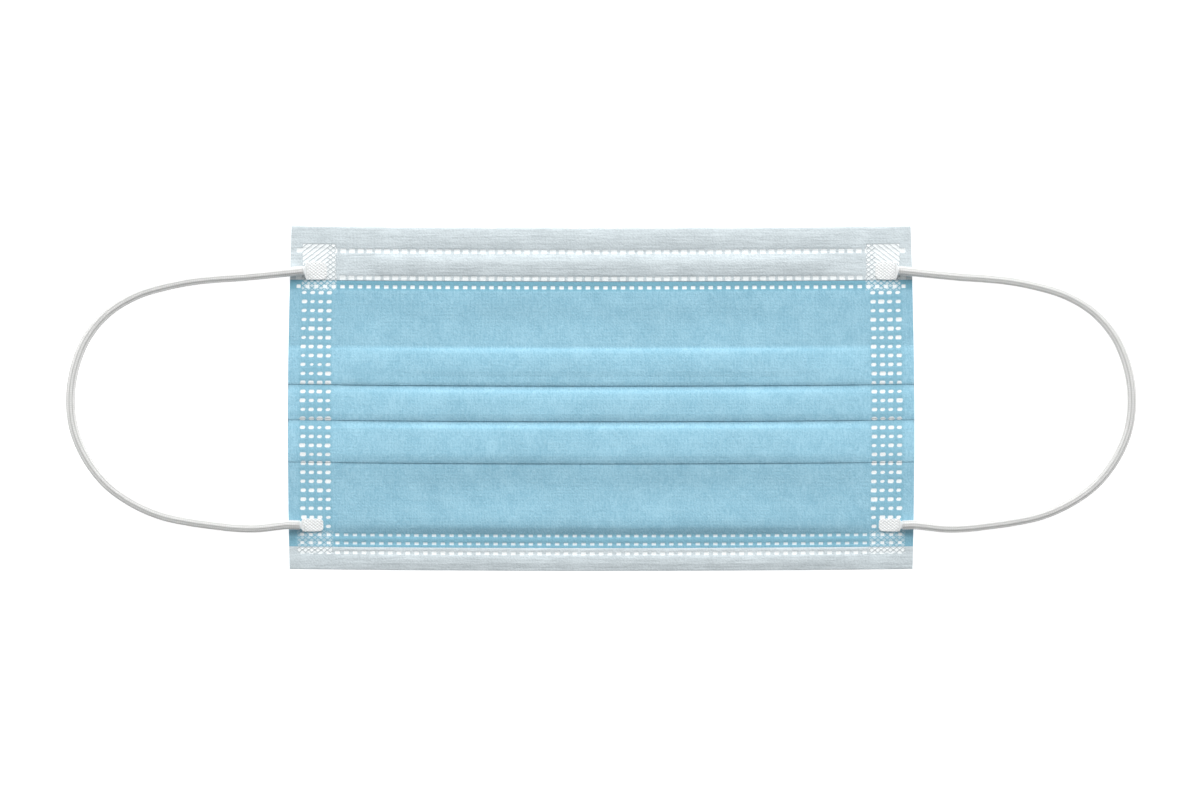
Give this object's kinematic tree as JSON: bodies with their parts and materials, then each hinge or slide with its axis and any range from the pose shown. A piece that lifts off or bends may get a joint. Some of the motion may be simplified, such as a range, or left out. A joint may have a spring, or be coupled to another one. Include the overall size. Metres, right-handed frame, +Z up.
{
  "type": "pleated face mask",
  "caption": "Flat pleated face mask: a blue outer sheet with folded pleats, white turned hems, a nose wire in the top hem and elastic ear loops welded to the corners, lying outer side up.",
  "frame": {"origin": "on the surface that the mask lies on, under the middle of the cloth", "axes": "+X across the face, to the right as seen from the outer side; +Y towards the nose edge; +Z up through the cloth, out of its outer face"},
  "size_m": [0.3006, 0.097, 0.0042],
  "materials": {
    "blue_nonwoven": "matte spunbond polypropylene",
    "white_nonwoven": "matte spunbond polypropylene",
    "knitted_elastic": "matte knitted elastic",
    "coated_wire": "satin plastic coating over wire"
  },
  "bodies": {
    "root": {"pleated_panel": "blue_nonwoven", "top_hem": "white_nonwoven", "bottom_hem": "white_nonwoven", "nose_wire": "coated_wire", "left_ear_loop": "knitted_elastic", "right_ear_loop": "knitted_elastic", "left_upper_weld_tab": "knitted_elastic", "left_lower_weld_tab": "knitted_elastic", "right_upper_weld_tab": "knitted_elastic", "right_lower_weld_tab": "knitted_elastic"}
  },
  "joints": []
}
